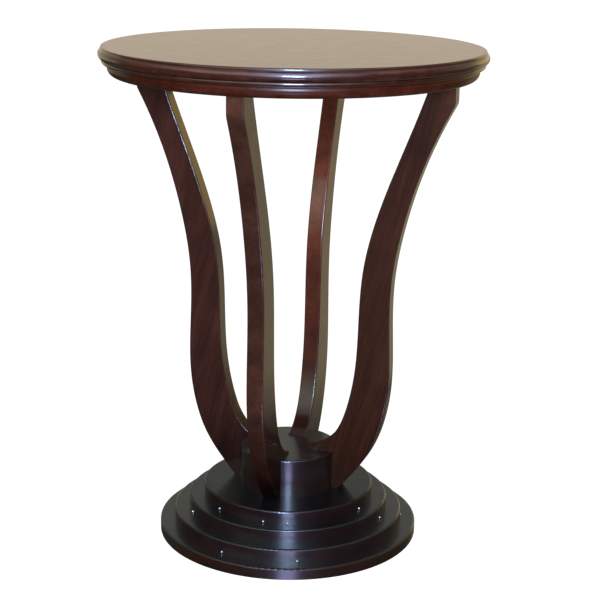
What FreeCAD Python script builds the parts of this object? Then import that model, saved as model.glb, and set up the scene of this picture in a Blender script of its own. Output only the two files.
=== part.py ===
import FreeCAD, Part
import math
import os

# Round pedestal accent table: a moulded round top on four curved legs, whose
# feet are housed in a drum-shaped hub on a base of four stepped discs.
# Frame: origin on the floor under the middle, +Z up, one leg towards +X.
# All sizes are in millimetres.

# Base of four stacked discs
tier_names = ("base_tier_bottom", "base_tier_lower", "base_tier_upper", "base_tier_top")
bottom_tier_thickness = 15.5
tier_thickness = 18.0
tier_tread = 20.8
top_tread = 49.6
tier_arris = 2.2

# Hub drum
hub_radius = 68.7
hub_height = 53.0
hub_arris = 2.0

# Legs
leg_count = 4
leg_thickness = 23.0
leg_rise = 518.0
leg_top_width = 33.0
leg_setback = 13.2
leg_arris = 1.6
leg_corner_radius = 16.0
heel_thickness = 9.0
toe_length = 35.7
toe_blunt = 2.5
outer_height_shares = (0.045, 0.10, 0.175, 0.27, 0.40, 0.525, 0.66, 0.805, 0.953)
outer_reach_shares = (0.192, 0.331, 0.439, 0.496, 0.492, 0.495, 0.580, 0.744, 1.0)
inner_height_shares = (0.025, 0.062, 0.129, 0.245, 0.38, 0.515, 0.665, 0.8235)
inner_reach_shares = (0.143, 0.252, 0.342, 0.413, 0.433, 0.465, 0.588, 0.783)

# Tenon on each foot, housed in the hub, and its locking pin
tenon_thickness = 10.0
tenon_length = 24.0
tenon_shoulder = 10.0
tenon_pin_radius = 4.0
tenon_pin_top_cover = 6.0

# Table top: core, veneer, lipping and the disc below them
top_radius = 256.0
core_thickness = 22.1
veneer_thickness = 0.6
rim_width = 41.0
tongue_length = 6.0
tongue_thickness = 6.0
biscuit_length = 30.0
biscuit_width = 16.0
biscuit_thickness = 4.0
sub_top_thickness = 14.5

# Moulded edge of the lipping, from the top down
top_arris = 2.0
top_quirk = 1.6
main_bead_depth = 3.5
small_bead_radius = 3.0
small_bead_step = 4.0
rim_foot_height = 1.0
rim_foot_step = 1.5

# Moulded edge of the disc below
groove_depth = 3.0
ovolo_radius = 9.8

# Wood screws
screw_gap_share = 0.12
screw_point_share = 0.18
drive_width_share = 0.22
drive_depth_share = 0.55
top_screw_radius = 2.25
top_screw_head_radius = 4.5
top_screw_length = 30.0
top_screw_inner_circle = 90.0
top_screw_edge_distance = 15.0
leg_screw_radius = 2.25
leg_screw_head_radius = 4.5
leg_screw_length = 40.0
leg_screw_edge_distance = 6.0
hub_screw_radius = 2.5
hub_screw_head_radius = 5.0
hub_screw_length = 45.0
hub_screw_inset = 23.7
tier_screw_radius = 2.25
tier_screw_head_radius = 4.5
tier_screw_length = 28.0
tier_screw_inset = 22.0
tier_screw_count = 6
hub_screw_count = 4
outer_top_screw_count = 8
inner_top_screw_count = 4

# Dowel at the top of each leg
dowel_radius = 4.0
dowel_length = 30.0
dowel_gap = 0.1

# Brads toed in at the foot of each riser, and their places round the base
brad_radius = 0.6
brad_head_radius = 1.4
brad_head_thickness = 0.8
brad_head_crown = 1.2
brad_length = 18.0
brad_rise = 1.6
brad_proud = 0.5
brad_tilt_degrees = 45.0
lower_brad_degrees = (18.0, 110.0, 185.0, 255.0, 293.0)
middle_brad_degrees = (104.0, 216.0, 355.0)
upper_brad_degrees = (60.0, 140.0, 236.0, 272.0, 288.0, 344.0)

# Tie bolt up the middle, with its washer and threaded insert
bolt_radius = 4.0
bolt_head_flats = 13.0
bolt_head_height = 5.5
bolt_end_reach = 25.0
bolt_gap = 0.5
washer_radius = 12.0
washer_thickness = 2.0
recess_radius = 13.5
recess_depth = 9.0
insert_radius = 6.0
insert_length = 20.0
thread_gap = 0.05

# Felt pads let into the underside
pad_radius = 13.0
pad_thickness = 3.0
pad_proud = 0.5
pad_edge_distance = 30.7
pad_count = 4

# Clearance of glued and housed joints, and how far cutters run past a face
joint_gap = 0.15
overrun = 2.0

# Heights and radii worked out from the sizes above
base_underside = pad_proud
base_top = base_underside + bottom_tier_thickness + (len(tier_names) - 1) * tier_thickness
hub_top = base_top + hub_height
sub_top_underside = hub_top + leg_rise
core_underside = sub_top_underside + sub_top_thickness
core_face = core_underside + core_thickness
table_height = core_face + veneer_thickness
quirk_radius = top_radius - main_bead_depth
flat_radius = quirk_radius - top_arris
core_radius = top_radius - rim_width
main_bead_top = table_height - top_arris - top_quirk
small_bead_foot = core_underside + rim_foot_height
main_bead_foot = small_bead_foot + 2 * small_bead_radius
small_bead_centre = quirk_radius - small_bead_step
rim_foot_radius = small_bead_centre - rim_foot_step
sub_top_radius = rim_foot_radius - groove_depth
ovolo_centre = sub_top_radius - ovolo_radius
ovolo_top_degrees = math.degrees(math.asin((sub_top_thickness - ovolo_radius) / ovolo_radius))
leg_top_radius = ovolo_centre - leg_setback
leg_top_inner = leg_top_radius - leg_top_width
half_leg = leg_thickness / 2
seat_radius = math.sqrt(hub_radius**2 - half_leg**2)
heel_radius = seat_radius + heel_thickness
toe_radius = hub_radius - toe_length
leg_step_degrees = 360 / leg_count


def tier_radius(index):
    """Radius of a base disc, counted from the bottom."""
    return hub_radius + top_tread + (len(tier_names) - 1 - index) * tier_tread


def tier_foot(index):
    """Height of a base disc's underside."""
    if index == 0:
        return base_underside
    return base_underside + bottom_tier_thickness + (index - 1) * tier_thickness


def tier_top(index):
    """Height of a base disc's tread."""
    return base_underside + bottom_tier_thickness + index * tier_thickness


# Helpers


def flat_point(radius, height):
    """A point of an upright section, in the plane through +X."""
    return FreeCAD.Vector(radius, 0, height)


def polar_point(radius, degrees, height):
    """A point at a radius and an angle round the upright axis."""
    turn = math.radians(degrees)
    return FreeCAD.Vector(radius * math.cos(turn), radius * math.sin(turn), height)


def arc_step(centre_radius, centre_height, radius, start_degrees, end_degrees):
    """Middle and end of a circular arc in the section plane."""
    points = []
    for degrees in ((start_degrees + end_degrees) / 2, end_degrees):
        turn = math.radians(degrees)
        reach = centre_radius + radius * math.cos(turn)
        points.append(flat_point(reach, centre_height + radius * math.sin(turn)))
    return points


def section_face(start, steps):
    """A closed face from a start point and steps of one point (line) or two (arc)."""
    edges = []
    here = start
    for step in steps:
        if len(step) == 1:
            edges.append(Part.LineSegment(here, step[0]).toShape())
        else:
            edges.append(Part.Arc(here, step[0], step[1]).toShape())
        here = step[-1]
    edges.append(Part.LineSegment(here, start).toShape())
    return Part.Face(Part.Wire(edges))


def turned(face, start_degrees=0, sweep_degrees=360):
    """A section face turned round the upright axis."""
    section = face.copy()
    section.rotate(FreeCAD.Vector(0, 0, 0), FreeCAD.Vector(0, 0, 1), start_degrees)
    return section.revolve(FreeCAD.Vector(0, 0, 0), FreeCAD.Vector(0, 0, 1), sweep_degrees)


def rod(radius, length, base):
    """A plain upright cylinder."""
    return Part.makeCylinder(radius, length, base)


def around(shape, degrees):
    """A copy turned round the upright axis."""
    copy = shape.copy()
    copy.rotate(FreeCAD.Vector(0, 0, 0), FreeCAD.Vector(0, 0, 1), degrees)
    return copy


def leg_angles():
    """The four directions of the legs."""
    return [index * leg_step_degrees for index in range(leg_count)]


def ring_angles(count, start_degrees=0):
    """Evenly spaced directions."""
    return [start_degrees + index * 360 / count for index in range(count)]


def cut_all(solid, cutters):
    """A solid less a list of cutters."""
    return solid.cut(Part.makeCompound(cutters)).Solids[0]


def oriented(shape, base, direction):
    """A shape made along +Z, set at a base point along a direction."""
    copy = shape.copy()
    copy.Placement = FreeCAD.Placement(base, FreeCAD.Rotation(FreeCAD.Vector(0, 0, 1), direction))
    return copy


def screw(radius, head_radius, length):
    """A countersunk wood screw along +Z, its head's face at zero."""
    head_height = head_radius - radius
    point_height = length * screw_point_share
    body = turned(
        section_face(
            flat_point(0, 0),
            [
                [flat_point(head_radius, 0)],
                [flat_point(radius, head_height)],
                [flat_point(radius, length - point_height)],
                [flat_point(0, length)],
            ],
        )
    )
    slot_width = head_radius * drive_width_share
    slot_depth = head_height * drive_depth_share
    corner = FreeCAD.Vector(-radius, -slot_width / 2, -slot_depth)
    slot = Part.makeBox(2 * radius, slot_width, 2 * slot_depth, corner)
    return body.cut(slot.fuse(around(slot, 90))).Solids[0]


def screw_hole(radius, head_radius, length):
    """The cutter for a countersunk screw, a little larger all round."""
    gap = radius * screw_gap_share
    head_height = head_radius - radius
    return turned(
        section_face(
            flat_point(0, -overrun),
            [
                [flat_point(head_radius + gap, -overrun)],
                [flat_point(head_radius + gap, 0)],
                [flat_point(radius + gap, head_height)],
                [flat_point(radius + gap, length + gap)],
                [flat_point(0, length + gap)],
            ],
        )
    )


up = FreeCAD.Vector(0, 0, 1)
down = FreeCAD.Vector(0, 0, -1)


# Places of the fasteners


def hub_screw_places():
    """Bases of the screws that hold the top disc of the base to the hub."""
    circle = hub_radius - hub_screw_inset
    height = tier_foot(len(tier_names) - 1)
    directions = ring_angles(hub_screw_count, leg_step_degrees / 2)
    return [polar_point(circle, degrees, height) for degrees in directions]


def tier_screw_places(index):
    """Bases of the screws that go up from one base disc into the next."""
    circle = tier_radius(index + 1) - tier_screw_inset
    return [polar_point(circle, degrees, tier_foot(index)) for degrees in ring_angles(tier_screw_count)]


def top_screw_places():
    """Bases of the screws that go up into the core of the top."""
    outer_circle = core_radius - top_screw_edge_distance
    places = []
    for degrees in ring_angles(outer_top_screw_count, leg_step_degrees / 4):
        places.append(polar_point(outer_circle, degrees, sub_top_underside))
    for degrees in ring_angles(inner_top_screw_count, leg_step_degrees / 2):
        places.append(polar_point(top_screw_inner_circle, degrees, sub_top_underside))
    return places


def leg_screw_places():
    """Bases of the screws that go down into the legs' top ends."""
    places = []
    for degrees in leg_angles():
        for radius in (leg_top_inner + leg_screw_edge_distance, leg_top_radius - leg_screw_edge_distance):
            places.append(polar_point(radius, degrees, core_underside))
    return places


def dowel_places():
    """Bases of the dowels between the legs and the disc above them."""
    radius = leg_top_radius - leg_top_width / 2
    depth = dowel_length - sub_top_thickness / 2
    return [polar_point(radius, degrees, sub_top_underside - depth) for degrees in leg_angles()]


def tenon_pin_places():
    """Bases of the pins that lock the tenons in the hub."""
    radius = seat_radius - tenon_length / 2
    return [polar_point(radius, degrees, base_top) for degrees in leg_angles()]


def placed_all(shape, places, direction):
    """Copies of one fastener or cutter at each of its places."""
    return [oriented(shape, place, direction) for place in places]


hub_screw = screw(hub_screw_radius, hub_screw_head_radius, hub_screw_length)
hub_screw_holes = placed_all(
    screw_hole(hub_screw_radius, hub_screw_head_radius, hub_screw_length), hub_screw_places(), up
)
tier_screw = screw(tier_screw_radius, tier_screw_head_radius, tier_screw_length)
tier_screw_hole = screw_hole(tier_screw_radius, tier_screw_head_radius, tier_screw_length)
top_screw = screw(top_screw_radius, top_screw_head_radius, top_screw_length)
top_screw_holes = placed_all(
    screw_hole(top_screw_radius, top_screw_head_radius, top_screw_length), top_screw_places(), up
)
leg_screw = screw(leg_screw_radius, leg_screw_head_radius, leg_screw_length)
leg_screw_holes = placed_all(
    screw_hole(leg_screw_radius, leg_screw_head_radius, leg_screw_length), leg_screw_places(), down
)
dowel_holes = placed_all(
    rod(dowel_radius + dowel_gap, dowel_length, flat_point(0, 0)), dowel_places(), up
)
pin_length = hub_height - tenon_pin_top_cover
tenon_pin_holes = placed_all(
    rod(tenon_pin_radius + dowel_gap, pin_length, flat_point(0, 0)), tenon_pin_places(), up
)


# Brads


def brad(extra=0):
    """A brad along +Z, its domed head first; extra makes it a cutter."""
    head = brad_head_radius + extra
    shank = brad_radius + extra
    crown = brad_head_crown + extra
    dome = (head**2 + crown**2) / (2 * crown)
    dome_degrees = math.degrees(2 * math.atan(crown / head))
    return turned(
        section_face(
            flat_point(0, -crown),
            [
                arc_step(0, dome - crown, dome, -90, dome_degrees - 90),
                [flat_point(head, brad_head_thickness + extra)],
                [flat_point(shank, brad_head_thickness + extra)],
                [flat_point(shank, brad_length + extra)],
                [flat_point(0, brad_length + extra)],
            ],
        )
    )


def brads_at(index, shape):
    """One shape at each brad's place round the riser that stands on a base disc."""
    angle_sets = (lower_brad_degrees, middle_brad_degrees, upper_brad_degrees)
    tilt = math.radians(brad_tilt_degrees)
    radius = tier_radius(index + 1) + brad_proud * math.cos(tilt)
    height = tier_top(index) + brad_rise + brad_proud * math.sin(tilt)
    inward = FreeCAD.Vector(-math.cos(tilt), 0, -math.sin(tilt))
    first = oriented(shape, flat_point(radius, height), inward)
    return [around(first, degrees) for degrees in angle_sets[index]]


def brad_holes(index):
    """The cutters for the brads that reach one base disc."""
    cutters = []
    cutter = brad(thread_gap)
    if index > 0:
        cutters.extend(brads_at(index - 1, cutter))
    if index < len(tier_names) - 1:
        cutters.extend(brads_at(index, cutter))
    return cutters


# Base discs, hub and their fixings


def base_disc(index):
    """One disc of the stepped base, with its holes."""
    foot = tier_foot(index)
    head = tier_top(index)
    radius = tier_radius(index)
    body = turned(
        section_face(
            flat_point(0, foot),
            [
                [flat_point(radius, foot)],
                [flat_point(radius, head - tier_arris)],
                arc_step(radius - tier_arris, head - tier_arris, tier_arris, 0, 90),
                [flat_point(0, head)],
            ],
        )
    )
    cutters = [rod(bolt_radius + bolt_gap, table_height, flat_point(0, 0))]
    cutters.extend(brad_holes(index))
    if index < len(tier_names) - 1:
        cutters.extend(placed_all(tier_screw_hole, tier_screw_places(index), up))
    else:
        cutters.extend(hub_screw_holes)
    if index > 0:
        cutters.extend(placed_all(tier_screw_hole, tier_screw_places(index - 1), up))
    else:
        cutters.append(rod(recess_radius, recess_depth + overrun, flat_point(0, foot - overrun)))
        for place in pad_places():
            cutters.append(rod(pad_radius + joint_gap, pad_thickness, place))
    return cut_all(body, cutters)


def pad_places():
    """Middles of the felt pads, at floor height."""
    circle = tier_radius(0) - pad_edge_distance
    return [polar_point(circle, degrees, 0) for degrees in ring_angles(pad_count, leg_step_degrees / 2)]


def floor_pads():
    """Felt discs let into the underside, a little proud of it."""
    return [rod(pad_radius, pad_thickness, place) for place in pad_places()]


def hub_drum():
    """The drum that the feet stand on, with flats, mortises and holes."""
    body = turned(
        section_face(
            flat_point(0, base_top),
            [
                [flat_point(hub_radius, base_top)],
                [flat_point(hub_radius, hub_top - hub_arris)],
                arc_step(hub_radius - hub_arris, hub_top - hub_arris, hub_arris, 0, 90),
                [flat_point(0, hub_top)],
            ],
        )
    )
    flat = Part.makeBox(
        hub_radius,
        leg_thickness,
        hub_height + 2 * overrun,
        FreeCAD.Vector(seat_radius, -half_leg, base_top - overrun),
    )
    mortise = Part.makeBox(
        tenon_length + joint_gap + overrun,
        tenon_thickness + 2 * joint_gap,
        hub_height - 2 * tenon_shoulder + 2 * joint_gap,
        FreeCAD.Vector(
            seat_radius - tenon_length - joint_gap,
            -tenon_thickness / 2 - joint_gap,
            base_top + tenon_shoulder - joint_gap,
        ),
    )
    cutters = []
    for degrees in leg_angles():
        cutters.append(around(flat, degrees))
        cutters.append(around(mortise, degrees))
    insert_base = flat_point(0, base_top - overrun)
    cutters.append(rod(insert_radius + thread_gap, insert_length + overrun, insert_base))
    cutters.append(rod(bolt_radius + bolt_gap, bolt_end_reach + overrun, flat_point(0, base_top)))
    cutters.extend(hub_screw_holes)
    cutters.extend(tenon_pin_holes)
    return cut_all(body, cutters)


def tenon_pins():
    """Pins that lock the tenons, driven from under the hub."""
    pin = rod(tenon_pin_radius, pin_length, flat_point(0, 0))
    return placed_all(pin, tenon_pin_places(), up)


def tie_bolt():
    """Hexagon bolt up through the base into the hub."""
    head_top = base_underside + recess_depth - washer_thickness
    corner_radius = bolt_head_flats / 2 / math.cos(math.radians(30))
    corners = [polar_point(corner_radius, degrees, head_top - bolt_head_height) for degrees in ring_angles(6)]
    head = Part.Face(Part.makePolygon(corners + corners[:1])).extrude(FreeCAD.Vector(0, 0, bolt_head_height))
    shank = rod(bolt_radius, base_top + bolt_end_reach - head_top, flat_point(0, head_top))
    return head.fuse(shank).removeSplitter().Solids[0]


def ring(outer_radius, inner_radius, height, foot):
    """A flat ring or tube round the upright axis."""
    blank = rod(outer_radius, height, flat_point(0, foot))
    return blank.cut(rod(inner_radius, height, flat_point(0, foot))).Solids[0]


def tie_washer():
    """Washer under the bolt's head."""
    foot = base_underside + recess_depth - washer_thickness
    return ring(washer_radius, bolt_radius + bolt_gap, washer_thickness, foot)


def tie_insert():
    """Threaded insert in the hub, drawn plain."""
    return ring(insert_radius, bolt_radius + thread_gap, insert_length, base_top)


# Legs


def spline_through(points):
    """A smooth curve through the given points."""
    curve = Part.BSplineCurve()
    curve.interpolate(points)
    return curve.toShape()


def leg_section():
    """Side view of a leg: an S-shaped board notched over the hub."""
    outer = [flat_point(heel_radius, base_top)]
    for height_share, reach_share in zip(outer_height_shares, outer_reach_shares):
        radius = hub_radius + reach_share * (leg_top_radius - hub_radius)
        outer.append(flat_point(radius, base_top + height_share * (sub_top_underside - base_top)))
    inner = [flat_point(toe_radius, hub_top + toe_blunt)]
    for height_share, reach_share in zip(inner_height_shares, inner_reach_shares):
        radius = toe_radius + reach_share * (leg_top_inner - toe_radius)
        inner.append(flat_point(radius, hub_top + height_share * leg_rise))
    inner.append(flat_point(leg_top_inner, sub_top_underside))
    shoulder = [outer[-1], flat_point(leg_top_radius, sub_top_underside), inner[-1]]
    notch = [
        inner[0],
        flat_point(toe_radius, hub_top),
        flat_point(seat_radius, hub_top),
        flat_point(seat_radius, base_top),
        outer[0],
    ]
    edges = [spline_through(outer), spline_through(inner)]
    for run in (shoulder, notch):
        for first, second in zip(run[:-1], run[1:]):
            edges.append(Part.LineSegment(first, second).toShape())
    return Part.Face(Part.Wire(Part.__sortEdges__(edges)))


def outer_corner_edges(shape):
    """The edge across the leg where its back turns upright."""
    height = base_top + outer_height_shares[-1] * (sub_top_underside - base_top)
    found = []
    for edge in shape.Edges:
        middle = edge.CenterOfMass
        away = math.hypot(middle.x - leg_top_radius, middle.z - height)
        if away < toe_blunt and abs(middle.y) < toe_blunt:
            found.append(edge)
    return found


def long_arris_edges(shape):
    """The long edges of the leg's two broad faces, clear of both ends' faces."""
    found = []
    for edge in shape.Edges:
        middle = edge.CenterOfMass
        box = edge.BoundBox
        on_face = box.YLength < toe_blunt and abs(abs(middle.y) - half_leg) < toe_blunt
        rises = box.ZLength > toe_blunt * 2
        above_seat = box.ZMax > hub_top + toe_blunt * 2
        if on_face and rises and above_seat:
            found.append(edge)
    return found


def leg():
    """One leg towards +X, with its tenon and holes."""
    section = leg_section()
    section.translate(FreeCAD.Vector(0, -half_leg, 0))
    board = section.extrude(FreeCAD.Vector(0, leg_thickness, 0))
    board = board.makeFillet(leg_corner_radius, outer_corner_edges(board))
    board = board.makeFillet(leg_arris, long_arris_edges(board))
    tenon = Part.makeBox(
        tenon_length + joint_gap,
        tenon_thickness,
        hub_height - 2 * tenon_shoulder,
        FreeCAD.Vector(seat_radius - tenon_length, -tenon_thickness / 2, base_top + tenon_shoulder),
    )
    board = board.fuse(tenon)
    holes = leg_screw_holes[:2] + dowel_holes[:1] + tenon_pin_holes[:1]
    return cut_all(board, holes)


# Table top


def lipping_section():
    """Section of the moulded lipping, grooved for the core's tongue."""
    inner = core_radius + joint_gap
    groove = core_radius + tongue_length + joint_gap
    tongue_foot = core_underside + (core_thickness - tongue_thickness) / 2 - joint_gap
    tongue_head = tongue_foot + tongue_thickness + 2 * joint_gap
    bead_middle = flat_point(top_radius, (main_bead_foot + main_bead_top) / 2)
    return section_face(
        flat_point(inner, core_underside),
        [
            [flat_point(rim_foot_radius, core_underside)],
            [flat_point(rim_foot_radius, small_bead_foot)],
            [flat_point(small_bead_centre, small_bead_foot)],
            arc_step(small_bead_centre, small_bead_foot + small_bead_radius, small_bead_radius, -90, 90),
            [flat_point(quirk_radius, main_bead_foot)],
            [bead_middle, flat_point(quirk_radius, main_bead_top)],
            [flat_point(quirk_radius, table_height - top_arris)],
            arc_step(quirk_radius - top_arris, table_height - top_arris, top_arris, 0, 90),
            [flat_point(flat_radius, core_face)],
            [flat_point(inner, core_face)],
            [flat_point(inner, tongue_head)],
            [flat_point(groove, tongue_head)],
            [flat_point(groove, tongue_foot)],
            [flat_point(inner, tongue_foot)],
        ],
    )


def biscuit(extra=0):
    """The loose tongue across a joint of the lipping; extra makes it a cutter."""
    length = biscuit_length + 2 * extra
    width = biscuit_width + 2 * extra
    thickness = biscuit_thickness + 2 * extra
    middle_radius = (core_radius + tongue_length + small_bead_centre) / 2
    middle_height = core_underside + core_thickness / 2
    corner = FreeCAD.Vector(middle_radius - width / 2, -length / 2, middle_height - thickness / 2)
    return Part.makeBox(width, length, thickness, corner)


def lipping_joints():
    """Directions of the joints between the lengths of lipping."""
    return ring_angles(leg_count, leg_step_degrees / 2)


def lipping_lengths():
    """The four lengths of lipping, mitred end to end over the gaps between legs."""
    slots = [around(biscuit(joint_gap), degrees) for degrees in lipping_joints()]
    lengths = []
    for degrees in lipping_joints():
        blank = turned(lipping_section(), degrees, leg_step_degrees)
        lengths.append(cut_all(blank, slots))
    return lengths


def top_core():
    """Core board of the top, with a tongue round its edge."""
    tongue_foot = core_underside + (core_thickness - tongue_thickness) / 2
    tongue_head = tongue_foot + tongue_thickness
    body = turned(
        section_face(
            flat_point(0, core_underside),
            [
                [flat_point(core_radius, core_underside)],
                [flat_point(core_radius, tongue_foot)],
                [flat_point(core_radius + tongue_length, tongue_foot)],
                [flat_point(core_radius + tongue_length, tongue_head)],
                [flat_point(core_radius, tongue_head)],
                [flat_point(core_radius, core_face)],
                [flat_point(0, core_face)],
            ],
        )
    )
    return cut_all(body, top_screw_holes)


def top_veneer():
    """Face veneer over the core and the lipping's inner part."""
    return rod(flat_radius - joint_gap, veneer_thickness, flat_point(0, core_face))


def sub_top():
    """Disc under the top, with a rounded edge; the legs are fixed to it."""
    body = turned(
        section_face(
            flat_point(0, sub_top_underside),
            [
                [flat_point(ovolo_centre, sub_top_underside)],
                arc_step(
                    ovolo_centre, sub_top_underside + ovolo_radius, ovolo_radius, -90, ovolo_top_degrees
                ),
                [flat_point(0, core_underside)],
            ],
        )
    )
    return cut_all(body, top_screw_holes + leg_screw_holes + dowel_holes)


def leg_dowels():
    """Dowels between the legs and the disc above them."""
    dowel = rod(dowel_radius, dowel_length, flat_point(0, 0))
    return placed_all(dowel, dowel_places(), up)


# Output


def save(name, solids):
    """Write one node."""
    shape = solids[0] if len(solids) == 1 else Part.makeCompound(solids)
    shape.exportStep("parts/" + name + ".step")
    volume = sum(solid.Volume for solid in solids)
    valid = all(solid.isValid() for solid in solids)
    print(name, len(solids), "solids", round(volume), "cubic mm", "valid" if valid else "NOT VALID")


def main():
    os.makedirs("parts", exist_ok=True)
    for index, name in enumerate(tier_names):
        save(name, [base_disc(index)])
    for index, name in enumerate(("lower_tier_screws", "middle_tier_screws", "upper_tier_screws")):
        save(name, placed_all(tier_screw, tier_screw_places(index), up))
    for index, name in enumerate(("lower_riser_brads", "middle_riser_brads", "upper_riser_brads")):
        save(name, brads_at(index, brad()))
    save("floor_pads", floor_pads())
    save("tie_bolt", [tie_bolt()])
    save("tie_washer", [tie_washer()])
    save("tie_insert", [tie_insert()])
    save("hub_drum", [hub_drum()])
    save("hub_screws", placed_all(hub_screw, hub_screw_places(), up))
    save("tenon_pins", tenon_pins())
    one_leg = leg()
    for index, degrees in enumerate(leg_angles()):
        save("leg_" + str(index + 1), [around(one_leg, degrees)])
    save("leg_dowels", leg_dowels())
    save("leg_screws", placed_all(leg_screw, leg_screw_places(), down))
    save("sub_top", [sub_top()])
    save("top_screws", placed_all(top_screw, top_screw_places(), up))
    save("top_core", [top_core()])
    for index, length in enumerate(lipping_lengths()):
        save("rim_lipping_" + str(index + 1), [length])
    save("rim_biscuits", [around(biscuit(), degrees) for degrees in lipping_joints()])
    save("top_veneer", [top_veneer()])
    print("table height", round(table_height, 2), "top diameter", round(2 * top_radius, 2))


main()
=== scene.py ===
import math

import bpy
from mathutils import Matrix, Vector

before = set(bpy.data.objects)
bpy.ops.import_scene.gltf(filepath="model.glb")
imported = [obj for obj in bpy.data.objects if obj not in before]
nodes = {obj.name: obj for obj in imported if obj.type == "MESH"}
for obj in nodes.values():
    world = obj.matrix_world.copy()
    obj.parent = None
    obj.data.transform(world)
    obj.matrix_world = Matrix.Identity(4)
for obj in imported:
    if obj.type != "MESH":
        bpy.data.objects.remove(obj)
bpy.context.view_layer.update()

scene = bpy.context.scene
MM = 0.001
QUARTER_TURN = 90.0
UP = (0.0, 0.0, 1.0)
WHITE = (1.0, 1.0, 1.0)


# The camera, as fitted to the photograph. The photograph's own axes have +Y pointing away from
# the camera, and the part's +X leg lies TURN degrees from their +X.
TURN = 18.27
CAMERA_BACK, CAMERA_HEIGHT = 1963.92 * MM, 879.32 * MM
CAMERA_PITCH, CAMERA_YAW, CAMERA_ROLL = 15.5525, 0.37699, 0.85236
CAMERA_LENS, CAMERA_SENSOR = 89.1232, 36.0
TO_PART = Matrix.Rotation(math.radians(TURN), 4, "Z")


def make_camera():
    pitch, yaw, roll = (math.radians(v) for v in (CAMERA_PITCH, CAMERA_YAW, CAMERA_ROLL))
    ahead = Vector((math.sin(yaw) * math.cos(pitch), math.cos(yaw) * math.cos(pitch), -math.sin(pitch)))
    level = Vector((math.cos(yaw), -math.sin(yaw), 0.0))
    over = level.cross(ahead)
    right = level * math.cos(roll) + over * math.sin(roll)
    up = over * math.cos(roll) - level * math.sin(roll)
    matrix = Matrix((right, up, -ahead)).transposed().to_4x4()
    matrix.translation = Vector((0.0, -CAMERA_BACK, CAMERA_HEIGHT))
    data = bpy.data.cameras.new("camera")
    data.lens, data.sensor_width = CAMERA_LENS, CAMERA_SENSOR
    camera = bpy.data.objects.new("camera", data)
    scene.collection.objects.link(camera)
    camera.matrix_world = TO_PART @ matrix
    scene.camera = camera


# Sockets of a Mix node that mixes colours
FIRST_COLOUR, SECOND_COLOUR, MIXED_COLOUR = 6, 7, 2
# Where a colour ramp's new stops are made, before each gets its place
NEW_STOP = 0.5


class Nodes:
    """A node tree, with short calls to add and join nodes."""

    def __init__(self, tree):
        self.tree = tree
        tree.nodes.clear()

    def add(self, kind, **settings):
        node = self.tree.nodes.new(kind)
        for key, value in settings.items():
            setattr(node, key, value)
        return node

    def put(self, socket, value):
        if isinstance(value, bpy.types.NodeSocket):
            self.tree.links.new(value, socket)
        else:
            socket.default_value = value

    def coords(self):
        return self.add("ShaderNodeTexCoord").outputs["Object"]

    def math(self, operation, *values):
        node = self.add("ShaderNodeMath", operation=operation)
        for socket, value in zip(node.inputs, values):
            self.put(socket, value)
        return node.outputs[0]

    def product(self, first, *others):
        for other in others:
            first = self.math("MULTIPLY", first, other)
        return first

    def split(self, vector):
        node = self.add("ShaderNodeSeparateXYZ")
        self.put(node.inputs[0], vector)
        return node.outputs

    def join(self, *parts):
        node = self.add("ShaderNodeCombineXYZ")
        for socket, value in zip(node.inputs, parts):
            self.put(socket, value)
        return node.outputs[0]

    def mapping(self, vector, rotation=(0.0, 0.0, 0.0), scale=(1.0, 1.0, 1.0)):
        node = self.add("ShaderNodeMapping")
        self.put(node.inputs["Vector"], vector)
        node.inputs["Rotation"].default_value = [math.radians(v) for v in rotation]
        node.inputs["Scale"].default_value = scale
        return node.outputs[0]

    def noise(self, vector, scale=1.0, detail=4.0, roughness=0.55, distortion=0.0):
        node = self.add("ShaderNodeTexNoise")
        self.put(node.inputs["Vector"], vector)
        choices = {"Scale": scale, "Detail": detail, "Roughness": roughness, "Distortion": distortion}
        for key, value in choices.items():
            node.inputs[key].default_value = value
        return node.outputs["Fac"]

    def ramp(self, factor, *stops):
        node = self.add("ShaderNodeValToRGB")
        self.put(node.inputs["Fac"], factor)
        elements = node.color_ramp.elements
        while len(elements) < len(stops):
            elements.new(NEW_STOP)
        for element, (place, colour) in zip(elements, stops):
            element.position = place
            element.color = (*colour, 1.0)
        return node.outputs["Color"]

    def fit(self, value, low, high, to_low, to_high):
        """Value moved from the range low to high into to_low to to_high, and held inside it."""
        node = self.add("ShaderNodeMapRange")
        for socket, given in zip(node.inputs, (value, low, high, to_low, to_high)):
            self.put(socket, given)
        return node.outputs[0]

    def fade(self, value, start, full):
        """0 where value is at start, 1 where it is at full."""
        return self.fit(value, start, full, 0.0, 1.0)

    def mix(self, factor, first, second, blend="MIX"):
        node = self.add("ShaderNodeMix", data_type="RGBA", blend_type=blend)
        self.put(node.inputs["Factor"], factor)
        self.put(node.inputs[FIRST_COLOUR], first)
        self.put(node.inputs[SECOND_COLOUR], second)
        return node.outputs[MIXED_COLOUR]

    def bump(self, height, strength, distance, normal=None):
        node = self.add("ShaderNodeBump")
        self.put(node.inputs["Height"], height)
        node.inputs["Strength"].default_value = strength
        node.inputs["Distance"].default_value = distance
        if normal is not None:
            self.put(node.inputs["Normal"], normal)
        return node.outputs[0]


class Surface(Nodes):
    """The nodes of a new material with one principled surface."""

    def __init__(self, name):
        self.material = bpy.data.materials.new(name)
        self.material.use_nodes = True
        super().__init__(self.material.node_tree)
        self.principled = self.add("ShaderNodeBsdfPrincipled")
        out = self.add("ShaderNodeOutputMaterial")
        self.tree.links.new(self.principled.outputs["BSDF"], out.inputs["Surface"])

    def set(self, **values):
        for key, value in values.items():
            self.put(self.principled.inputs[key.replace("_", " ")], value)


def paint(material, *names):
    for name in names:
        mesh = nodes[name].data
        mesh.materials.clear()
        mesh.materials.append(material)


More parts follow.
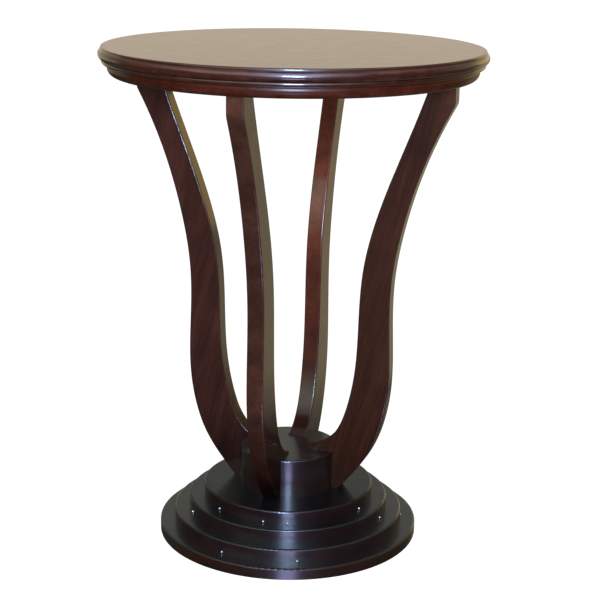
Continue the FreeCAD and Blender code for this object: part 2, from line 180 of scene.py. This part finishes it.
# The lacquered wood: linear colours of its stain
STAIN_DARK = (0.0170, 0.0050, 0.0028)
STAIN_MID = (0.0375, 0.0108, 0.0056)
STAIN_LIGHT = (0.0650, 0.0190, 0.0098)
STAIN_WORN = (0.130, 0.0440, 0.0260)
PORE_COLOUR = (0.009, 0.0028, 0.0018)
STAIN_STOPS = ((0.32, STAIN_DARK), (0.50, STAIN_MID), (0.70, STAIN_LIGHT))
# Waves in a metre along the grain and across it
BROAD_GRAIN = (3.0, 42.0, 42.0)
FINE_GRAIN = (14.0, 420.0, 420.0)
PORES = (45.0, 1900.0, 1900.0)
# Waves in a metre every way: clouds in the stain, rubbed spots, smears in the gloss, and the
# long and short waves of the film
CLOUDS, RUBS, SMEARS, WAVES, PEEL = 17.0, 60.0, 34.0, 28.0, 380.0
# Where in a noise's values each effect starts and is full
USUAL_NOISE = (0.3, 0.7)
CLOUD_NOISE = (0.35, 0.7)
PORE_NOISE = (0.60, 0.72)
RUB_NOISE = (0.42, 0.66)
# The broad grain's share of the tone, and how far clouds and pores darken the stain
BROAD_SHARE, CLOUD_SHARE, PORE_SHARE = 0.55, 0.45, 0.6
SMEAR_ROUGHNESS, WORN_ROUGHNESS = 0.08, 0.12
# The strength and height of each bump
WAVE_BUMP = (0.12, 0.8 * MM)
PEEL_BUMP = (0.05, 0.2 * MM)
PORE_BUMP = (0.05, 0.05 * MM)
LACQUER_IOR = 1.5
# How far a face looks along the flat faces' normal, from 0 to 1: where a turned side gives way
# to a flat face, and where an arris starts and ends
SIDE_TO_FLAT = (0.2, 0.8)
ARRIS_START = (0.08, 0.35)
ARRIS_END = (0.80, 0.985)
# The height that a row of painted shades is measured against, and the heights between which a
# foot's gloss grows to the full gloss
PAINTED_SHADE_TOP = 700 * MM
FOOT_DULL, FOOT_GLOSSY = 165 * MM, 210 * MM
RING_RADIUS = 250 * MM


def grain_turned(*rotation):
    return lambda wood: wood.mapping(wood.coords(), rotation=rotation)


def grain_round(wood):
    """Coordinates of a grain that runs round the axis: arc length, radius and height."""
    x, y, z = wood.split(wood.coords())
    angle = wood.math("ARCTAN2", y, x)
    radius = wood.math("SQRT", wood.math("ADD", wood.product(x, x), wood.product(y, y)))
    return wood.join(wood.product(angle, RING_RADIUS), radius, z)


def stain(wood, grain):
    """The stain's colour, and a mask of the open pores. The grain runs along its first axis."""
    broad = wood.noise(wood.mapping(grain, scale=BROAD_GRAIN), detail=5.0, distortion=0.4)
    fine = wood.noise(wood.mapping(grain, scale=FINE_GRAIN), detail=3.0, roughness=0.65)
    cloud = wood.noise(grain, scale=CLOUDS, detail=3.0)
    tone = wood.math("ADD", wood.product(broad, BROAD_SHARE), wood.product(fine, 1.0 - BROAD_SHARE))
    colour = wood.ramp(tone, *STAIN_STOPS)
    colour = wood.mix(wood.fit(cloud, *CLOUD_NOISE, 0.0, CLOUD_SHARE), colour, (*STAIN_DARK, 1.0))
    pore = wood.noise(wood.mapping(grain, scale=PORES), detail=2.0, roughness=0.5)
    pores = wood.fade(pore, *PORE_NOISE)
    colour = wood.mix(wood.product(pores, PORE_SHARE), colour, (*PORE_COLOUR, 1.0))
    return colour, pores


def facing(wood, axis):
    """How far a facet looks along the axis, either way: 1 along it and 0 across it."""
    along = wood.add("ShaderNodeVectorMath", operation="DOT_PRODUCT")
    wood.put(along.inputs[0], wood.add("ShaderNodeNewGeometry").outputs["True Normal"])
    along.inputs[1].default_value = axis
    return wood.math("ABSOLUTE", along.outputs["Value"])


def height_of(wood):
    return wood.split(wood.coords())[2]


def shading(wood, shade):
    """A grey that follows a row of heights and shares: a painted shade, with painted light where a share
    passes one.
    """
    level = wood.fade(height_of(wood), 0.0, PAINTED_SHADE_TOP)
    return wood.ramp(level, *((height / PAINTED_SHADE_TOP, (share, share, share)) for height, share in shade))


def film_bump(wood):
    """The clear film's own unevenness: long waves over orange peel."""
    peel = wood.noise(wood.coords(), scale=PEEL, detail=2.0, roughness=0.4)
    wave = wood.noise(wood.coords(), scale=WAVES, detail=2.0, roughness=0.4)
    return wood.bump(wave, *WAVE_BUMP, wood.bump(peel, *PEEL_BUMP))


def lacquered(
    name, grain_of, flat_axis, tint=WHITE, side_tint=None, shade=None, wear=0.22, shine=0.5, satin=0.30,
    coat=1.0, coat_rough=0.18, side_gloss=1.0, foot_gloss=1.0, arris_blur=0.0,
):
    """Stained open-grain wood under clear lacquer.

    grain_of gives the grain's coordinates. flat_axis is the normal of the flat faces, whose
    arrises are rubbed lighter by the share wear. tint scales the stain's colour, side_tint does
    so on the faces that look across flat_axis, and shade, a row of heights and shares, scales it
    again as a painted shade that darkens or lightens the colour with the height. shine is the
    gloss under the clear coat, and satin its roughness. coat and coat_rough are the coat's weight
    and roughness. side_gloss is the share of the coat on the side faces, foot_gloss the share of
    all gloss at a leg's foot, and arris_blur is what the arrises add to the coat's roughness."""
    wood = Surface(name)
    colour, pores = stain(wood, grain_of(wood))
    flatness = facing(wood, flat_axis)
    tint = (*tint, 1.0)
    if side_tint is not None:
        tint = wood.mix(wood.fade(flatness, *SIDE_TO_FLAT), (*side_tint, 1.0), tint)
        coat = wood.fit(flatness, *SIDE_TO_FLAT, coat * side_gloss, coat)
    colour = wood.mix(1.0, colour, tint, blend="MULTIPLY")
    # Painted shade: the colour darkens or lightens with the height.
    if shade is not None:
        colour = wood.mix(1.0, colour, shading(wood, shade), blend="MULTIPLY")
    arris = wood.product(wood.fade(flatness, *ARRIS_START), wood.fit(flatness, *ARRIS_END, 1.0, 0.0))
    worn = wood.product(arris, wood.fade(wood.noise(wood.coords(), scale=RUBS), *RUB_NOISE))
    colour = wood.mix(wood.product(worn, wear), colour, (*STAIN_WORN, 1.0))
    smear = wood.noise(wood.coords(), scale=SMEARS, detail=5.0, roughness=0.6)
    smeared = wood.fit(smear, *USUAL_NOISE, satin, satin + SMEAR_ROUGHNESS)
    film = film_bump(wood)
    if foot_gloss < 1.0:
        gloss = wood.fit(height_of(wood), FOOT_DULL, FOOT_GLOSSY, foot_gloss, 1.0)
        shine = wood.product(gloss, shine)
        coat = wood.product(gloss, coat)
    wood.set(
        Base_Color=colour,
        Roughness=wood.math("ADD", smeared, wood.product(worn, WORN_ROUGHNESS)),
        Normal=wood.bump(wood.math("SUBTRACT", 1.0, pores), *PORE_BUMP, film),
        IOR=LACQUER_IOR,
        Specular_IOR_Level=shine,
        Coat_Weight=coat,
        Coat_Roughness=wood.math("MULTIPLY_ADD", arris, arris_blur, coat_rough),
        Coat_IOR=LACQUER_IOR,
        Coat_Normal=film,
    )
    return wood.material


# The discs and the drum. Their boards run in turned directions, as glued-up discs do. Each row
# holds the node, the grain's turn in degrees, the tints of the flat faces and of the turned
# side, the shine, the clear coat, the side's share of it and the coat's roughness. The tints
# carry painted shade: they step darker from the bottom tier up to the top tier, for the shade
# under the table top, and the bottom tier's side is painted lightest, for the light off the floor.
TIERS = (
    ("base_tier_bottom", 12.0, (0.28, 0.42, 0.60), (0.50, 0.42, 0.25), 0.30, 1.00, 0.64, 0.21),
    ("base_tier_lower", 67.0, (0.18, 0.36, 0.60), (0.36, 0.38, 0.60), 0.25, 1.00, 0.70, 0.22),
    ("base_tier_upper", -31.0, (0.14, 0.33, 0.60), (0.34, 0.38, 0.60), 0.20, 0.90, 0.90, 0.20),
    ("base_tier_top", 24.0, (0.12, 0.30, 0.56), (0.34, 0.34, 0.60), 0.12, 0.72, 1.30, 0.19),
    ("hub_drum", -50.0, (0.30, 0.36, 0.50), (0.32, 0.34, 0.46), 0.30, 0.85, 1.17, 0.18),
)
TIER_WEAR, TIER_SATIN = 0.03, 0.36


def paint_tiers():
    for name, turn, tint, side_tint, shine, coat, side_gloss, coat_rough in TIERS:
        lacquer = lacquered(
            name + "_lacquer", grain_turned(0.0, 0.0, turn), UP, tint, side_tint, wear=TIER_WEAR,
            shine=shine, satin=TIER_SATIN, coat=coat, coat_rough=coat_rough, side_gloss=side_gloss,
        )
        paint(lacquer, name)


# The top: its lower disc, its moulded lipping and its veneer
SUB_TOP_TURN, VENEER_TURN = 40.0, 20.0
SUB_TOP_TINT = (1.80, 0.95, 0.62)
LIPPING_TINT = (1.42, 0.68, 0.34)


def paint_top():
    sub_top = lacquered(
        "sub_top_lacquer", grain_turned(0.0, 0.0, SUB_TOP_TURN), UP, SUB_TOP_TINT,
        shine=0.1, coat=0.36, coat_rough=0.26,
    )
    paint(sub_top, "sub_top")
    lipping = lacquered("lipping_lacquer", grain_round, UP, LIPPING_TINT, shine=0.45, coat_rough=0.085)
    paint(lipping, "rim_lipping_1", "rim_lipping_2", "rim_lipping_3", "rim_lipping_4")
    paint(lacquered("veneer_lacquer", grain_turned(0.0, 0.0, VENEER_TURN), UP), "top_veneer")


# The legs. The grain runs up the board, which leans out from the foot to the top. Each leg's
# colour is scaled by a painted shade, a row of heights in millimetres and shares: painted shade
# that darkens the leg towards the foot, and painted light where a share passes one near the top.
LEG_LEAN = 14.0
LEG_COAT_ROUGH, LEG_ARRIS_BLUR = 0.12, 0.12
RIGHT_LEG_PAINTED_SHADE = ((90, 0.31), (170, 0.53), (280, 0.60), (420, 0.60), (560, 0.68), (610, 0.90), (640, 1.35))
BACK_LEG_PAINTED_SHADE = ((140, 0.20), (280, 0.50), (360, 0.68), (430, 1.0))
LEFT_LEG_PAINTED_SHADE = ((90, 0.28), (170, 0.68), (280, 0.92), (420, 0.95), (560, 0.96))
FRONT_LEG_PAINTED_SHADE = (
    (90, 0.14), (150, 0.58), (200, 0.90), (260, 1.00), (340, 0.88), (560, 0.94), (600, 1.10), (640, 1.55),
)
# Each row holds the leg's number, tint, painted shade, shine, clear coat and the gloss at its
# foot. The tints differ from leg to leg as painted light and shade, for how brightly each is lit.
LEGS = (
    (1, (1.95, 2.0, 1.8), RIGHT_LEG_PAINTED_SHADE, 0.05, 1.00, 0.3),
    (2, (4.2, 2.9, 2.1), BACK_LEG_PAINTED_SHADE, 0.15, 0.88, 1.0),
    (3, (1.5, 1.45, 1.55), LEFT_LEG_PAINTED_SHADE, 0.05, 1.00, 1.0),
    (4, (1.5, 1.55, 1.5), FRONT_LEG_PAINTED_SHADE, 0.05, 1.00, 0.3),
)


def paint_legs():
    for number, tint, shade, shine, coat, foot_gloss in LEGS:
        turn = QUARTER_TURN * (number - 1)
        across = (-math.sin(math.radians(turn)), math.cos(math.radians(turn)), 0.0)
        lacquer = lacquered(
            f"leg_{number}_lacquer", grain_turned(0.0, QUARTER_TURN - LEG_LEAN, -turn), across, tint,
            shade=[(height * MM, share) for height, share in shade], shine=shine, coat=coat,
            coat_rough=LEG_COAT_ROUGH, foot_gloss=foot_gloss, arris_blur=LEG_ARRIS_BLUR,
        )
        paint(lacquer, f"leg_{number}")


# Unfinished wood, metal and felt, with waves in a metre as above
RAW_GRAIN, RAW_PORES = (6.0, 70.0, 70.0), 60.0
RAW_BROAD_SHARE = 0.6
RAW_STOPS = (0.34, 0.68)
RAW_ROUGHNESS = (0.48, 0.66)
RAW_BUMP = (0.25, 0.15 * MM)
BLOTCHES = 240.0
SCRATCHES = (300.0, 300.0, 2600.0)
SCRATCH_BUMP = (0.15, 0.05 * MM)
FIBRES, TUFTS = 1600.0, 260.0
FELT_DARK, FELT_LIGHT = (0.045, 0.032, 0.024), (0.150, 0.112, 0.082)
FELT_ROUGHNESS = (0.86, 0.98)
FELT_BUMP = (0.6, 0.3 * MM)
SOFT_STOPS = (0.35, 0.65)


def raw_wood(name, dark, light, pores):
    wood = Surface(name)
    broad = wood.noise(wood.mapping(wood.coords(), scale=RAW_GRAIN), detail=5.0)
    fine = wood.noise(wood.mapping(wood.coords(), scale=(RAW_PORES, pores, pores)), detail=3.0)
    tone = wood.math("ADD", wood.product(broad, RAW_BROAD_SHARE), wood.product(fine, 1.0 - RAW_BROAD_SHARE))
    wood.set(
        Base_Color=wood.ramp(tone, *zip(RAW_STOPS, (dark, light))),
        Roughness=wood.fit(fine, *USUAL_NOISE, *RAW_ROUGHNESS),
        Normal=wood.bump(fine, *RAW_BUMP),
    )
    return wood.material


def metal(name, dull, bright, roughness):
    metal_face = Surface(name)
    blotch = metal_face.noise(metal_face.coords(), scale=BLOTCHES)
    scratch = metal_face.noise(metal_face.mapping(metal_face.coords(), scale=SCRATCHES), detail=3.0)
    metal_face.set(
        Base_Color=metal_face.ramp(blotch, *zip(SOFT_STOPS, (dull, bright))),
        Metallic=1.0,
        Roughness=metal_face.fit(scratch, *USUAL_NOISE, *roughness),
        Normal=metal_face.bump(scratch, *SCRATCH_BUMP),
    )
    return metal_face.material


def felt(name):
    pad = Surface(name)
    fibre = pad.noise(pad.coords(), scale=FIBRES, detail=5.0, roughness=0.7)
    tuft = pad.noise(pad.coords(), scale=TUFTS, detail=3.0)
    pad.set(
        Base_Color=pad.ramp(fibre, *zip(SOFT_STOPS, (FELT_DARK, FELT_LIGHT))),
        Roughness=pad.fit(tuft, *USUAL_NOISE, *FELT_ROUGHNESS),
        Normal=pad.bump(fibre, *FELT_BUMP),
    )
    return pad.material


def paint_hidden_wood():
    core = raw_wood("core_board_raw", dark=(0.30, 0.20, 0.12), light=(0.50, 0.37, 0.24), pores=700.0)
    paint(core, "top_core")
    beech = raw_wood("beech_raw", dark=(0.42, 0.27, 0.15), light=(0.64, 0.45, 0.28), pores=900.0)
    paint(beech, "tenon_pins", "leg_dowels", "rim_biscuits")


def paint_hardware():
    zinc = metal("screw_zinc", dull=(0.40, 0.40, 0.41), bright=(0.62, 0.62, 0.63), roughness=(0.28, 0.45))
    paint(zinc, "lower_tier_screws", "middle_tier_screws", "upper_tier_screws", "hub_screws")
    paint(zinc, "leg_screws", "top_screws", "tie_bolt", "tie_washer")
    steel = metal("brad_bright", dull=(0.80, 0.80, 0.81), bright=(0.94, 0.94, 0.95), roughness=(0.44, 0.58))
    paint(steel, "lower_riser_brads", "middle_riser_brads", "upper_riser_brads")
    brass = metal(
        "insert_brass_plain", dull=(0.50, 0.33, 0.11), bright=(0.80, 0.60, 0.26), roughness=(0.24, 0.40),
    )
    paint(brass, "tie_insert")
    paint(felt("pad_felt_brown"), "floor_pads")


# The floor: pale, lit by itself, and out of the lacquer's mirror
FLOOR_HALF = 30.0
FLOOR_CORNERS = ((-1, -1), (1, -1), (1, 1), (-1, 1))
FLOOR_CLOUDS = 3.0
FLOOR_STOPS = ((0.0, (0.20, 0.20, 0.20)), (1.0, (0.23, 0.23, 0.23)))
FLOOR_ROUGHNESS = 0.9
FLOOR_GLOW = 0.94


def make_floor():
    mesh = bpy.data.meshes.new("floor")
    mesh.from_pydata([(x * FLOOR_HALF, y * FLOOR_HALF, 0.0) for x, y in FLOOR_CORNERS], [], [(0, 1, 2, 3)])
    floor = bpy.data.objects.new("floor", mesh)
    scene.collection.objects.link(floor)
    pale = Surface("floor_pale")
    pale.set(
        Base_Color=pale.ramp(pale.noise(pale.coords(), scale=FLOOR_CLOUDS), *FLOOR_STOPS),
        Roughness=FLOOR_ROUGHNESS,
        Emission_Color=(*WHITE, 1.0),
        Emission_Strength=FLOOR_GLOW,
        Specular_IOR_Level=0.0,
    )
    mesh.materials.append(pale.material)
    floor.visible_glossy = False
    floor.visible_diffuse = False
    floor.visible_shadow = False
    return floor


# The lights, in metres. The flash sits beside the camera, and the glare is its image in the floor.
FLASH_DISTANCE, FLASH_HEIGHT = 2.05, 0.93
FLASH_BLUE, GLARE_BLUE = (0.50, 0.71, 1.06), (0.54, 0.54, 1.06)
WARM_WHITE, DAY_WHITE = (1.0, 0.94, 0.86), (1.0, 0.99, 0.97)
AIM_HEIGHT, FRONT_AIM_HEIGHT = 0.40, 0.45


def panel(name, direction, distance, height, size, colour, strength, aim=AIM_HEIGHT):
    """A soft panel light at direction degrees round from the camera's side, turned to the table."""
    data = bpy.data.lights.new(name, "AREA")
    data.shape = "RECTANGLE"
    data.size, data.size_y = size
    data.color = colour
    data.energy = strength * size[0] * size[1]
    light = bpy.data.objects.new(name, data)
    scene.collection.objects.link(light)
    angle = math.radians(direction - QUARTER_TURN)
    place = TO_PART @ Vector((distance * math.cos(angle), distance * math.sin(angle), height))
    light.location = place
    light.rotation_mode = "QUATERNION"
    light.rotation_quaternion = (Vector((0.0, 0.0, aim)) - place).to_track_quat("-Z", "Y")
    light.visible_camera = False
    return light


def make_lights():
    panel(
        "flash_light", direction=0.0, distance=FLASH_DISTANCE, height=FLASH_HEIGHT, size=(0.36, 0.58),
        colour=FLASH_BLUE, strength=300.0,
    )
    panel(
        "floor_glare", direction=0.0, distance=FLASH_DISTANCE, height=-FLASH_HEIGHT, size=(0.50, 0.40),
        colour=GLARE_BLUE, strength=46.0,
    )
    panel(
        "front_light", direction=6.0, distance=1.7, height=1.35, size=(2.2, 0.9), colour=WARM_WHITE,
        strength=2.5, aim=FRONT_AIM_HEIGHT,
    )
    over = panel(
        "over_light", direction=0.0, distance=0.3, height=3.2, size=(2.6, 2.6), colour=DAY_WHITE,
        strength=3.6,
    )
    over.visible_glossy = False


# The room, as the lacquer mirrors it. A direction has the parts right, away and up, seen from
# the camera. Behind the table the colour follows how far right the direction points: in the
# low row the places run from 0 for straight left to 1 for straight right, and in the rows
# below the horizon from 0 for the middle to 1 for straight right.
LEFT_LOW = (0.50, 0.42, 0.28)
BACK_LOW = (0.83, 0.68, 0.50)
RIGHT_LOW = (1.05, 0.74, 0.27)
FAR_RIGHT_LOW = (0.42, 0.33, 0.17)
LOW_STOPS = (
    (0.25, LEFT_LOW), (0.42, BACK_LOW), (0.66, BACK_LOW), (0.80, RIGHT_LOW), (0.845, RIGHT_LOW),
    (0.88, FAR_RIGHT_LOW),
)
BELOW_MIDDLE = (0.45, 0.385, 0.24)
BELOW_STOPS = (
    (0.02, (0.04, 0.04, 0.035)), (0.40, BELOW_MIDDLE), (0.66, BELOW_MIDDLE), (0.73, (0.10, 0.08, 0.05)),
)
UNDERFOOT_DARK, UNDERFOOT_PALE = (0.05, 0.065, 0.05), (0.21, 0.19, 0.14)
UNDERFOOT_STOPS = (
    (0.05, UNDERFOOT_DARK), (0.20, UNDERFOOT_PALE), (0.42, UNDERFOOT_PALE), (0.52, UNDERFOOT_DARK),
)
# The low row reaches higher at the right, and above it the wall fades into its upper part.
LOW_ROW_RIGHT, LOW_ROW_UP = (0.40, 0.65), (0.06, 0.18)
WALL_UP = 0.44
BACK_HIGH = (0.17, 0.22, 0.215)
# How far up a direction points where the floor underfoot gives way to the floor farther off
UNDERFOOT_UP = (-0.348, -0.312)
# The horizon behind the table lies lower at the left.
HORIZON_RIGHT, HORIZON_DROP = (-0.20, 0.10), (0.15, 0.0)
HORIZON_UP = (-0.05, -0.01)
# How far away a direction points where the front of the room gives way to the back
FRONT_TO_BACK = (-0.2, 0.35)
FRONT = (0.05, 0.05, 0.055)
# Patches: a colour, then the edges over which it fades in, each a part of the direction and
# the values where the patch starts and is full
LEFT_HIGH_PATCH = ((0.11, 0.12, 0.09), ("right", -0.58, -0.72), ("up", 0.10, 0.22))
FAR_LEFT_PATCH = ((0.08, 0.06, 0.04), ("right", -0.82, -0.90), ("up", 0.22, 0.12))
FRONT_LEFT_PATCH = ((0.16, 0.10, 0.09), ("right", -0.45, -0.65), ("up", -0.23, -0.14))
CEILING_PATCH = ((0.55, 0.62, 0.58), ("up", 0.55, 0.70), ("up", 0.93, 0.85))
DAYLIGHT_PATCH = (
    (1.10, 1.35, 1.15), ("right", -0.32, -0.48), ("right", -0.88, -0.78), ("up", 0.10, 0.32),
    ("up", 0.80, 0.65),
)
FLASH_BOUNCE_PATCH = (
    (2.20, 2.90, 4.50), ("right", -0.38, -0.12), ("right", 0.42, 0.15), ("up", 0.36, 0.54),
    ("up", 0.93, 0.84),
)


def laid_over(sky, under, patch, parts):
    colour, *edges = patch
    share = sky.product(*(sky.fade(parts[part], start, full) for part, start, full in edges))
    return sky.mix(share, under, (*colour, 1.0))


def back_of_room(sky, parts):
    right, up = parts["right"], parts["up"]
    low = sky.ramp(sky.fit(right, -1.0, 1.0, 0.0, 1.0), *LOW_STOPS)
    low_top = sky.fit(right, *LOW_ROW_RIGHT, *LOW_ROW_UP)
    above = sky.mix(sky.fade(up, low_top, WALL_UP), low, (*BACK_HIGH, 1.0))
    above = laid_over(sky, above, LEFT_HIGH_PATCH, parts)
    below = sky.ramp(right, *BELOW_STOPS)
    underfoot = sky.ramp(right, *UNDERFOOT_STOPS)
    below = sky.mix(sky.fade(up, *UNDERFOOT_UP), underfoot, below)
    over_horizon = sky.math("ADD", up, sky.fit(right, *HORIZON_RIGHT, *HORIZON_DROP))
    return sky.mix(sky.fade(over_horizon, *HORIZON_UP), below, above)


def front_of_room(sky, parts):
    colour = (*FRONT, 1.0)
    for patch in (FRONT_LEFT_PATCH, CEILING_PATCH, DAYLIGHT_PATCH, FLASH_BOUNCE_PATCH):
        colour = laid_over(sky, colour, patch, parts)
    return colour


def make_room():
    world = bpy.data.worlds.new("studio")
    scene.world = world
    world.use_nodes = True
    sky = Nodes(world.node_tree)
    direction = sky.mapping(sky.add("ShaderNodeTexCoord").outputs["Generated"], rotation=(0.0, 0.0, -TURN))
    parts = dict(zip(("right", "away", "up"), sky.split(direction)))
    front, back = front_of_room(sky, parts), back_of_room(sky, parts)
    colour = sky.mix(sky.fade(parts["away"], *FRONT_TO_BACK), front, back)
    colour = laid_over(sky, colour, FAR_LEFT_PATCH, parts)
    backdrop = sky.add("ShaderNodeBackground")
    sky.put(backdrop.inputs["Color"], colour)
    out = sky.add("ShaderNodeOutputWorld")
    sky.tree.links.new(backdrop.outputs[0], out.inputs["Surface"])


paint_tiers()
paint_top()
paint_legs()
paint_hidden_wood()
paint_hardware()
make_camera()
floor = make_floor()
make_lights()
make_room()
scene.view_settings.view_transform = "Standard"
